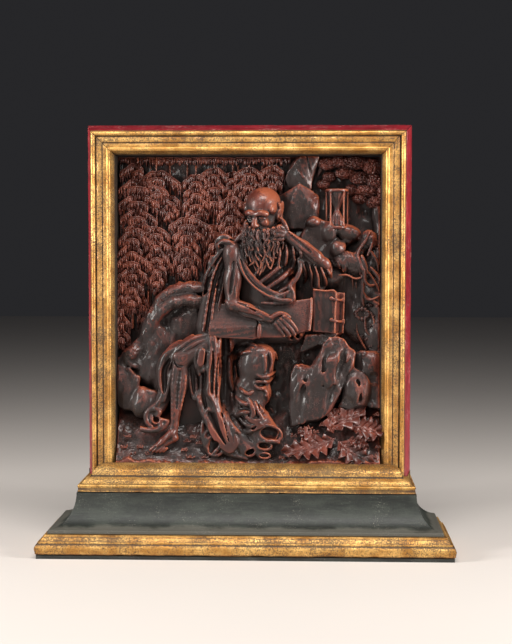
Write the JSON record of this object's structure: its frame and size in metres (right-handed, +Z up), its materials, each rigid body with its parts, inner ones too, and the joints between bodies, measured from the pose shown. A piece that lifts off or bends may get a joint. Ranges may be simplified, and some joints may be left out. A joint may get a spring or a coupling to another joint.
{
  "type": "carved wood relief",
  "caption": "Framed high relief of a bearded scholar reading among rocks and fir trees, carved in dark wood, in a gilt moulded frame standing on a stepped, painted plinth.",
  "frame": {"origin": "on the floor, under the centre of the plinth's width and depth", "axes": "+Z up, +X to the viewer's right, the carved front faces -Y"},
  "size_m": [0.24, 0.069, 0.2505],
  "materials": {
    "carved_wood": "dark red-brown fruitwood, waxed and rubbed to a gloss on the high parts, dull and near black in the hollows",
    "gilding": "water gilding over red bole on moulded wood, rubbed through along the arrises and lines",
    "red_paint": "crimson paint on the outer sides of the frame, worn pale on the arrises",
    "green_paint": "near-black green paint, dusty and brushed thin toward the foot",
    "black_paint": "dull black paint"
  },
  "bodies": {
    "root": {"base_board": "black_paint", "foot_moulding_front": "gilding", "foot_moulding_left": "gilding", "foot_moulding_right": "gilding", "plinth_block": "green_paint", "cap_moulding_front": "gilding", "cap_moulding_left": "gilding", "cap_moulding_right": "gilding", "frame_rail_left": "gilding", "frame_rail_right": "gilding", "frame_rail_top": "gilding", "frame_rail_bottom": "red_paint", "relief_panel": "carved_wood"}
  },
  "joints": []
}
